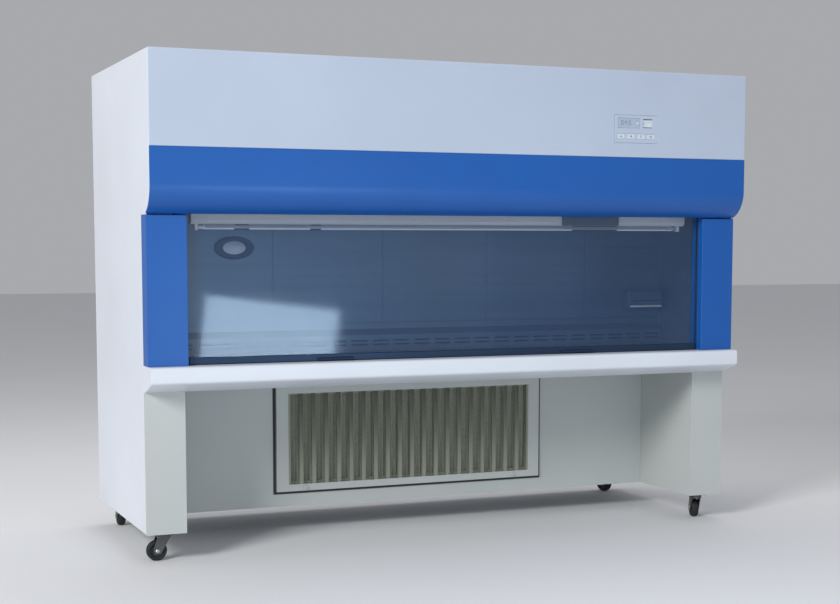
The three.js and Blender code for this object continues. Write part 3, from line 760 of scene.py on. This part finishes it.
def service_port():
    """An oval rubber grommet around a pale blanking plate."""
    low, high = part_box("service_port")
    centre = (low + high) / 2
    outer, inner = (high.x - low.x) / 2, 0.046
    squash = (high.z - low.z) / (high.x - low.x)
    front, back = low.y - centre.y, high.y - centre.y
    section = [
        (inner, back), (inner, front + 0.008), (inner + 0.002, front + 0.004),
        (inner + 0.007, front), (outer - 0.014, front), (outer - 0.006, front + 0.002),
        (outer - 0.001, front + 0.006), (outer, front + 0.010), (outer, back),
    ]
    place = at(*centre, "y")
    bm = bmesh.new()
    add_ring(bm, section, place, 64, squash)
    stand_for("port_grommet", bm, "service_port")
    plate, edge = bmesh.new(), inner - 0.0004
    dome = [(0, front + 0.0065), (0.012, front + 0.0068), (0.034, front + 0.0080),
            (edge, front + 0.0095), (edge, back), (0, back)]
    add_lathe(plate, dome, place, 48, squash)
    finish_piece("port_blanking_plate", plate, PORT_PLATE, "cabinet")


def socket():
    """A boxed double outlet behind a lift-up flap; case and flap are drawn dark as painted shade, and the flap's
    white finger lip is a painted glint.
    """
    low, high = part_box("socket_box")
    # Case and flap drawn dark instead of pale plastic: painted shade.
    refined("socket_box", "socket_case", 0.003, 3, SMOKED_AND_SHADE)
    rings, holes = bmesh.new(), bmesh.new()
    middle, inset = (low.z + high.z) / 2, 0.045
    ring = [(0.019, 0.0006), (0.0205, 0.0), (0.0215, -0.0004), (0.0225, 0.0006)]
    pin = [(0, -0.0002), (0.0026, -0.0002), (0.0026, 0.001), (0, 0.001)]
    pins = ((-0.0095, 0.0), (0.0095, 0.0), (0.0, 0.010))
    for x in (low.x + inset, high.x - inset):
        add_ring(rings, ring, at(x, low.y - 0.0004, middle, "y"), 40)
        for dx, dz in pins:
            add_lathe(holes, pin, at(x + dx, low.y - 0.0001, middle + dz, "y"), 16)
    finish_piece("socket_faces", rings, BRIGHT, "cabinet")
    finish_piece("socket_contacts", holes, SHADOW, "cabinet")
    low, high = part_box("socket_flap")
    refined("socket_flap", "socket_flap_cover", 0.0018, 3, SMOKED_AND_SHADE)
    # The flap's pale lip is a painted glint along its lower edge.
    lip, side = bmesh.new(), 0.004
    section = ((0.001, 0.001), (-0.008, 0.001), (-0.009, 0.004), (-0.005, 0.008), (0.001, 0.009))
    add_prism(lip, shifted(section, low.y, low.z), "x", low.x + side, high.x - side)
    finish_piece("socket_flap_glint_lip", lip, BRIGHT, "socket_flap", 0.0008)
    groove, side = bmesh.new(), 0.012
    near, far, z0, z1 = low.y - 0.0004, low.y + 0.001, low.z + 0.026, low.z + 0.031
    add_block(groove, (low.x + side, near, z0), (high.x - side, far, z1))
    finish_piece("socket_flap_groove", groove, SHADOW, "socket_flap")


worktop()
back_wall_details()
lamp()
ceiling()
service_port()
socket()

# ---------------------------------------------------------------- sash


def sash():
    """The pane between its rail and clamp, with grips, end caps, screws and side seals."""
    refined("sash_glass", "sash_pane", 0.0015, 2)
    refined("sash_rail", "sash_bottom_rail", 0.0018, 3)
    refined("sash_clamp", "sash_top_clamp", 0.0012, 2)
    low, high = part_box("sash_rail")
    grips, half = bmesh.new(), 0.07
    grip = ((0.001, 0.006), (-0.009, 0.004), (-0.010, 0.007), (-0.006, 0.012), (0.001, 0.014))
    for x in (-0.5, 0.5):
        add_prism(grips, shifted(grip, low.y, low.z), "x", x - half, x + half)
    in_slot("sash_finger_grips", grips, "anodised", "sash", 0.0008)
    caps, inset = bmesh.new(), 0.002
    for _, sign in SIDES:
        x0, x1 = sorted((sign * (high.x - 0.001), sign * (high.x + 0.0035)))
        near = (x0, low.y + inset, low.z + inset)
        add_block(caps, near, (x1, high.y - inset, high.z - inset))
    finish_piece("sash_rail_caps", caps, GASKET_RUBBER_AND_SHADE, "sash", bevel=0.001)
    low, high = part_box("sash_clamp")
    spots = [(x, low.y, high.z - 0.007) for x in spread(-0.96, 0.96, 9)]
    screws("sash_clamp_screws", spots, (0, -1, 0), "sash", 0.0035)
    seals = bmesh.new()
    (x0, x1), (z0, z1) = (1.0535, 1.0552), (0.7115, 1.2370)
    for _, sign in SIDES:
        for y0, y1 in ((-0.3972, -0.3928), (-0.3852, -0.3808)):
            add_block(seals, *mirror_x((x0, y0, z0), (x1, y1, z1), sign))
    finish_piece("sash_side_seals", seals, GASKET_RUBBER_AND_SHADE, "cabinet")


def cable_run(node):
    """Three twisted strands that stretch between the cabinet and a moving body."""
    low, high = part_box(node)
    x, y = (low.x + high.x) / 2, (low.y + high.y) / 2
    lay, wander, strand = 0.035, 0.0009, 0.0010
    strands = bmesh.new()
    for k in range(3):
        path = []
        for z in spread(low.z, high.z, 60):
            angle = 2 * math.pi * (k / 3 + (z - low.z) / lay)
            path.append((x + wander * math.cos(angle), y + wander * math.sin(angle), z))
        add_tube(strands, path, strand, 6)
    piece = in_slot(f"{node}_strands", strands, "cable_steel", None)
    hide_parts(node)
    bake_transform(piece)


def counterbalance():
    """Pulleys on brackets, counterweights with studs, and the cables between them."""
    radius, cable = 0.050, 0.002
    brackets, nuts = bmesh.new(), bmesh.new()
    front, back = (-0.3866, -0.3826), (-0.3574, -0.3534)
    top, plate, arm = 1.762, 0.0045, 0.045
    foot_half, top_half, drop = 0.020, 0.035, 0.02
    nut = [(0, 0), (0.010, 0), (0.010, 0.005), (0.008, 0.006), (0, 0.006)]
    stud = [(0, -0.001), (0.009, -0.001), (0.009, 0.003), (0.005, 0.005),
            (0.005, 0.014), (0, 0.015)]
    line, line_inset = 0.0015, 0.006
    for side, sign in SIDES:
        low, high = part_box(f"sash_pulley_{side}")
        x, y, z = (low + high) / 2
        refined(f"sash_pulley_{side}", f"pulley_wheel_{side}", 0.0006, 2)
        cheek = [(x - foot_half, z - drop), (x + foot_half, z - drop),
                 (x + top_half, top), (x - top_half, top)]
        for y0, y1 in (front, back):
            add_prism(brackets, cheek, "y", y0, y1)
        add_block(brackets, (x - arm, front[0], top - plate), (x + arm, back[1], top))
        for face, facing in ((front[0], -1), (back[1], 1)):
            matrix = at(x, face, z, "y") @ Matrix.Scale(facing, 4, (0, 0, 1))
            add_lathe(nuts, nut, matrix, 6)
        wrap = bmesh.new()
        half_turn = arc(x, z, radius, 0, 180, 28)
        add_tube(wrap, [(u, y, v) for u, v in half_turn], cable)
        in_slot(f"cable_wrap_{side}", wrap, "cable_steel", "cabinet")
        weight = f"counterweight_{side}"
        refined(weight, f"weight_block_{side}", 0.005, 3)
        low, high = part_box(weight)
        studs, lines = bmesh.new(), bmesh.new()
        add_lathe(studs, stud, at(x + sign * radius, y, high.z), 20)
        finish_piece(f"weight_stud_{side}", studs, SCREW_STEEL, weight)
        for level in spread(low.z + 0.03, high.z - 0.03, 5):
            near = (low.x + line_inset, low.y - 0.0008, level - line)
            add_block(lines, near, (high.x - line_inset, low.y + 0.001, level + line))
        finish_piece(f"weight_plate_lines_{side}", lines, SHADOW, weight)
        cable_run(f"sash_cable_{side}")
        cable_run(f"weight_cable_{side}")
    in_slot("pulley_brackets", brackets, "galvanised", "cabinet", 0.001)
    finish_piece("pulley_axle_nuts", nuts, SCREW_STEEL, "cabinet")


sash()
counterbalance()

# ---------------------------------------------------------------- air system


def filter_door():
    """The grilled door with its hinges and quarter-turn latches; its slats wear a darker olive that is painted
    shade, and a dark gasket frame round it is painted shade along its edges.
    """
    low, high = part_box("filter_door")
    rim_x, rim_z, slats, slat, step = 0.050, 0.028, 20, 0.016, 0.001
    x0, x1 = low.x + rim_x, high.x - rim_x
    z0, z1 = low.z + rim_z, high.z - rim_z
    rim = bmesh.new()
    add_pierced(rim, "y", low, high, [(x0, x1, z0, z1)])
    stand_for("filter_door_rim", rim, "filter_door", 0.0022, 3)
    pitch = (x1 - x0) / slats
    gaps = [
        (x0 + pitch * i + slat / 2, x0 + pitch * (i + 1) - slat / 2, z0 + step, z1 - step)
        for i in range(slats)
    ]
    # The slats wear a darker olive copy of the door's paint: painted shade under the bench.
    insert = bmesh.new()
    add_pierced(insert, "y", (x0, low.y + step, z0), (x1, high.y - step, z1), gaps)
    finish_piece("filter_door_slats", insert, SHADED_GRILLE_PAINT, "filter_door", 0.0012)
    # Dark frame round the door, shaped as a gasket: painted shade along its edges.
    gasket = bmesh.new()
    edge, gap, thick = 0.010, 0.0008, 0.004
    outer_low = (low.x - edge, high.y - thick, low.z - edge)
    outer_high = (high.x + edge, high.y, high.z + edge * 0.4)
    hole = (low.x - gap, high.x + gap, low.z - gap, high.z + gap)
    add_pierced(gasket, "y", outer_low, outer_high, [hole])
    finish_piece("door_gasket_painted_shade", gasket, GASKET_RUBBER_AND_SHADE, "cabinet", bevel=0.001)
    pin, half, pitch = 0.0032, 0.0115, 0.024
    pin_y, pin_z = low.y - 0.0005, high.z + 0.003
    barrel = [(0, -half), (pin, -half), (pin, half), (0, half)]
    leaf_y, leaf_z = (low.y - 0.002, 0.0299), (high.z + 0.0045, high.z + 0.0075)
    strap_y, strap_z = (low.y - 0.0025, low.y + 0.0005), (high.z - 0.020, high.z + 0.003)
    fixed, moving = bmesh.new(), bmesh.new()
    for x in (low.x + 0.16, high.x - 0.16):
        for dx, target in ((-pitch, fixed), (0.0, moving), (pitch, fixed)):
            add_lathe(target, barrel, at(x + dx, pin_y, pin_z, "x"), 20)
        for u in (x - pitch, x + pitch):
            add_block(fixed, (u - half, leaf_y[0], leaf_z[0]), (u + half, leaf_y[1], leaf_z[1]))
        add_block(moving, (x - half, strap_y[0], strap_z[0]), (x + half, strap_y[1], strap_z[1]))
    in_slot("door_hinge_leaves", fixed, "leg_paint", "cabinet", 0.0005)
    in_slot("door_hinge_straps", moving, "leg_paint", "filter_door", 0.0005)
    latches = bmesh.new()
    knob = [(0, -0.007), (0.006, -0.007), (0.0085, -0.0055), (0.010, 0.0),
            (0.010, 0.001), (0, 0.001)]
    bar_x, bar_y, bar_z = 0.007, (low.y - 0.0085, low.y - 0.0065), (0.0128, 0.0152)
    for x in (low.x + 0.12, high.x - 0.12):
        add_lathe(latches, knob, at(x, low.y, low.z + 0.014, "y"), 28)
        add_block(latches, (x - bar_x, bar_y[0], low.z + bar_z[0]),
                  (x + bar_x, bar_y[1], low.z + bar_z[1]))
    in_slot("door_latches", latches, "leg_paint", "filter_door", 0.0006)


def pre_filter():
    """A pleated panel filter in a card frame."""
    low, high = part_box("pre_filter")
    rail = 0.012
    x0, x1, z0, z1 = low.x + rail, high.x - rail, low.z + rail, high.z - rail
    pack = bmesh.new()
    outline = pleats(x0, x1, 121, low.y + 0.003, low.y + 0.017, high.y - 0.002)
    add_prism(pack, outline, "z", z0, z1)
    stand_for("pre_filter_pleats", pack, "pre_filter")
    card = bmesh.new()
    add_pierced(card, "y", low, high, [(x0, x1, z0, z1)])
    in_slot("pre_filter_frame", card, "filter_media", "cabinet", 0.001)


def blowers():
    """Two centrifugal blowers with finned motors and a ring of inlet bolts each."""
    fins, bolts = bmesh.new(), []
    root, tip, half = 0.0745, 0.080, 0.0012
    fin = [(root, -half), (tip, -half), (tip, half), (root, half)]
    bolt_circle = 0.125
    for side, _ in SIDES:
        refined(f"blower_housing_{side}", f"blower_scroll_{side}", 0.0012, 2)
        refined(f"impeller_{side}", f"impeller_wheel_{side}", 0.0006, 1)
        x, _, z = JOINTS[f"impeller_{side}_spin"]["pos_m"]
        low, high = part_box(f"blower_housing_{side}")
        for y in spread(high.y - 0.080, high.y - 0.010, 10):
            add_ring(fins, fin, at(x, y, z, "y"), 48)
        bolts += [
            (x + bolt_circle * math.cos(a), low.y, z + bolt_circle * math.sin(a))
            for a in spread(0, 2 * math.pi * 7 / 8, 8)
        ]
    finish_piece("motor_fins", fins, FIN_PAINT, "cabinet")
    screws("blower_inlet_bolts", bolts, (0, -1, 0), "cabinet", 0.0045)


filter_door()
pre_filter()
blowers()

# ---------------------------------------------------------------- controls

SEGMENTS = {"0": "abcdef", "4": "bcfg", "5": "acdfg"}


def add_digit(bm, character, x, z, height, y0, y1):
    """A seven-segment digit whose lower left corner is at x, z."""
    width, bar = height * 0.5, height * 0.11
    half = height / 2
    boxes = {
        "a": (0, width, height - bar, height), "d": (0, width, 0, bar),
        "g": (0, width, half - bar / 2, half + bar / 2),
        "b": (width - bar, width, half, height), "c": (width - bar, width, 0, half),
        "f": (0, bar, half, height), "e": (0, bar, 0, half),
    }
    gap = 0.0003
    for segment in SEGMENTS[character]:
        u0, u1, v0, v1 = boxes[segment]
        add_block(bm, (x + u0 + gap, y0, z + v0 + gap), (x + u1 - gap, y1, z + v1 - gap))


def key_symbol(bm, index, x, z, y0, y1):
    """Up, down, a ring for the lamp and three bars for the fan."""
    size = 0.0045
    if index < 2:
        lift = 1 if index == 0 else -1
        outline = [(x - size, z - lift * size * 0.7), (x + size, z - lift * size * 0.7),
                   (x, z + lift * size)]
        add_prism(bm, outline, "y", y0, y1)
    elif index == 2:
        middle, half, inner = (y0 + y1) / 2, (y1 - y0) / 2, size * 0.72
        ring = [(inner, -half), (size, -half), (size, half), (inner, half)]
        add_ring(bm, ring, at(x, middle, z, "y"), 28)
    else:
        pitch, thin = size * 0.8, 0.0007
        for bar in (x - pitch, x, x + pitch):
            add_block(bm, (bar - thin, y0, z - size), (bar + thin, y1, z + size))


def controls():
    """The bezel with its display, keys, rocker and screws."""
    low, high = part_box("control_bezel")
    fit, swing = 0.0004, 0.0022
    clearances = {"display_window": fit, "power_rocker": swing}
    clearances.update({f"control_key_{i}": fit for i in range(1, 5)})
    holes = []
    for node, gap in clearances.items():
        near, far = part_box(node)
        holes.append((near.x - fit, far.x + fit, near.z - gap, far.z + gap))
    face = bmesh.new()
    add_pierced(face, "y", low, high, holes)
    stand_for("control_bezel_face", face, "control_bezel", 0.0010, 2, MATERIALS["grey_paint"])
    refined("display_window", "display_pane", 0.0008, 2)
    refined("power_rocker", "rocker_cap", 0.0015, 3)
    low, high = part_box("display_window")
    y0, y1 = low.y - 0.0002, low.y + 0.0003
    digits = bmesh.new()
    height, foot, start, pitch = 0.018, low.z + 0.010, low.x + 0.014, 0.017
    for i, character in enumerate("045"):
        add_digit(digits, character, start + pitch * i, foot, height, y0, y1)
    dot, half = start + 0.0129, 0.0009
    add_block(digits, (dot - half, y0, foot), (dot + half, y1, foot + 2 * half))
    finish_piece("display_digits", digits, DIGIT, "cabinet")
    lens = bmesh.new()
    profile = [(0, -0.0004), (0.0020, -0.0003), (0.0028, 0.0004), (0, 0.0004)]
    add_lathe(lens, profile, at(high.x - 0.012, low.y, (low.z + high.z) / 2, "y"), 20)
    finish_piece("indicator_lens", lens, LED_GREEN, "cabinet")
    recess, below, above = 0.0008, 0.0004, 0.0003
    for i in range(4):
        node = f"control_key_{i + 1}"
        low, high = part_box(node)
        face = low.y + recess
        cap, mark = bmesh.new(), bmesh.new()
        add_block(cap, (low.x, face, low.z), (high.x, high.y, high.z))
        stand_for(f"key_cap_{i + 1}", cap, node, 0.0018, 3)
        centre = (low + high) / 2
        key_symbol(mark, i, centre.x, centre.z, face - below, face + above)
        finish_piece(f"key_legend_{i + 1}", mark, LEGEND, BODY_OF[node])
    low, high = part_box("control_bezel")
    inset, sunk = 0.0065, 0.0014
    spots = [
        (x, low.y + sunk, z)
        for x in (low.x + inset, high.x - inset)
        for z in (low.z + inset, high.z - inset)
    ]
    screws("bezel_screws", spots, (0, -1, 0), "cabinet", 0.0024)


def mains_inlet():
    """An appliance inlet with its three blade contacts."""
    low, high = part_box("mains_inlet")
    refined("mains_inlet", "inlet_shell", 0.0012, 2)
    centre = (low + high) / 2
    pins, half_x, half_z = bmesh.new(), 0.0011, 0.0035
    y0, y1 = low.y + 0.0155, high.y - 0.003
    for dx, dz in ((-0.009, -0.003), (0.0, 0.003), (0.009, -0.003)):
        x, z = centre.x + dx, centre.z + dz
        add_block(pins, (x - half_x, y0, z - half_z), (x + half_x, y1, z + half_z))
    finish_piece("inlet_pins", pins, BRASS, "cabinet", bevel=0.0004)


controls()
mains_inlet()

# ---------------------------------------------------------------- castors


def castor(name):
    """A swivel castor: fork, bolted flange, tyre, hub and axle bolt."""
    refined(f"castor_fork_{name}", f"fork_{name}", 0.0008, 2)
    swivel, roll = JOINTS[f"castor_{name}_swivel"], JOINTS[f"wheel_{name}_roll"]
    x, y, _ = swivel["pos_m"]
    flange = bmesh.new()
    ring = [(0.0262, 0.0990), (0.044, 0.0990), (0.046, 0.1005), (0.046, 0.1046), (0.0262, 0.1046)]
    add_ring(flange, ring, at(x, y, 0), 40)
    bolt = [(0, 0.0955), (0.0042, 0.0955), (0.0048, 0.0962), (0.0048, 0.0992), (0, 0.0992)]
    bolt_circle = 0.0365
    for k in range(4):
        a = math.pi / 4 + k * math.pi / 2
        spot = (x + bolt_circle * math.cos(a), y + bolt_circle * math.sin(a), 0)
        add_lathe(flange, bolt, at(*spot), 6)
    in_slot(f"castor_flange_{name}", flange, "plated_steel", "cabinet")
    centre = Vector(roll["pos_m"])
    place = Matrix.Translation(centre) @ aim_along(Vector(roll["axis"]).normalized())
    radius, half = centre.z, 0.014
    tread = [(0.026, -half), (radius - 0.005, -half), (radius - 0.0015, 0.003 - half),
             (radius, 0.008 - half)]
    tread += [(r, -h) for r, h in reversed(tread)]
    tyre = bmesh.new()
    add_ring(tyre, tread, place, 64)
    stand_for(f"tyre_{name}", tyre, f"castor_wheel_{name}")
    side = [(0.0054, 0.001 - half), (0.011, 0.001 - half), (0.013, 0.005 - half),
            (0.022, 0.005 - half), (0.0262, 0.001 - half)]
    side += [(r, -h) for r, h in reversed(side)]
    hub = bmesh.new()
    add_ring(hub, side, place, 48)
    finish_piece(f"wheel_hub_{name}", hub, MATERIALS["black_plastic"], f"wheel_{name}")
    cheek = half + 0.0046
    head = [(0, cheek), (0.0075, cheek), (0.0075, cheek + 0.003), (0.006, cheek + 0.004),
            (0, cheek + 0.004)]
    bolts = bmesh.new()
    for sign in (-1, 1):
        add_lathe(bolts, [(r, sign * h) for r, h in head], place, 6)
    finish_piece(f"axle_bolt_{name}", bolts, SCREW_STEEL, f"castor_{name}")


for castor_name in CASTORS:
    castor(castor_name)

# ---------------------------------------------------------------- stage

floor_mesh = bmesh.new()
bmesh.ops.create_grid(floor_mesh, x_segments=1, y_segments=1, size=30)
floor_data = bpy.data.meshes.new("floor")
floor_mesh.to_mesh(floor_data)
floor_mesh.free()
floor = bpy.data.objects.new("floor", floor_data)
scene.collection.objects.link(floor)
floor_finish = Shader("studio_floor", 0.8)
floor_finish.vary((0.76, 0.76, 0.77), 0.01, 1.0)
floor_data.materials.append(floor_finish.material)


GLASS_Y, CARD_Y = -0.392, -3.5
PALE_BLUE = (0.7, 0.85, 1)


def area_light(name, place, target, size, power, roll=0.0, colour=(1, 1, 1)):
    """A rectangular light at place that faces target, turned by roll."""
    data = bpy.data.lights.new(name, "AREA")
    data.shape = "RECTANGLE"
    data.color = colour
    data.size, data.size_y = size
    data.energy = power
    light = bpy.data.objects.new(name, data)
    scene.collection.objects.link(light)
    aim = (Vector(target) - Vector(place)).to_track_quat("-Z", "Y").to_matrix().to_4x4()
    light.matrix_world = Matrix.Translation(place) @ aim @ Matrix.Rotation(roll, 4, "Z")


def mirrored(x, z):
    """Where a card in front of the glass lies for its reflection to fall on x, z."""
    eye_x, eye_y, eye_z = CAMERA_AT
    t = (GLASS_Y - CARD_Y) / (GLASS_Y - eye_y)
    return Vector((x + (x - eye_x) * t, CARD_Y, z + (z - eye_z) * t))


area_light("key_softbox", (-8.0, -5.9, 5.6), (0.0, -0.2, 1.0), (3.0, 3.0), 800)
area_light("top_softbox", (0.5, 0.8, 4.6), (0.2, 0.4, 0.0), (3.5, 2.0), 60)
patch = mirrored(-0.745, 0.800)
ahead = Vector((0, 1, 0))
area_light("patch_card", patch, patch + ahead, (0.80, 0.40), 10, math.radians(-7), (0.6, 0.8, 1))
wash = mirrored(-0.47, 0.98)
area_light("wash_card", wash, wash + ahead, (1.95, 0.95), 0.6, colour=PALE_BLUE)
end_wash = mirrored(-0.95, 0.98)
area_light("end_wash_card", end_wash, end_wash + ahead, (0.6, 0.9), 2.6, colour=PALE_BLUE)

world = bpy.data.worlds.new("studio")
scene.world = world
world.use_nodes = True
background = world.node_tree.nodes["Background"]
background.inputs["Color"].default_value = (0.93, 0.95, 1.0, 1)
background.inputs["Strength"].default_value = 0.42
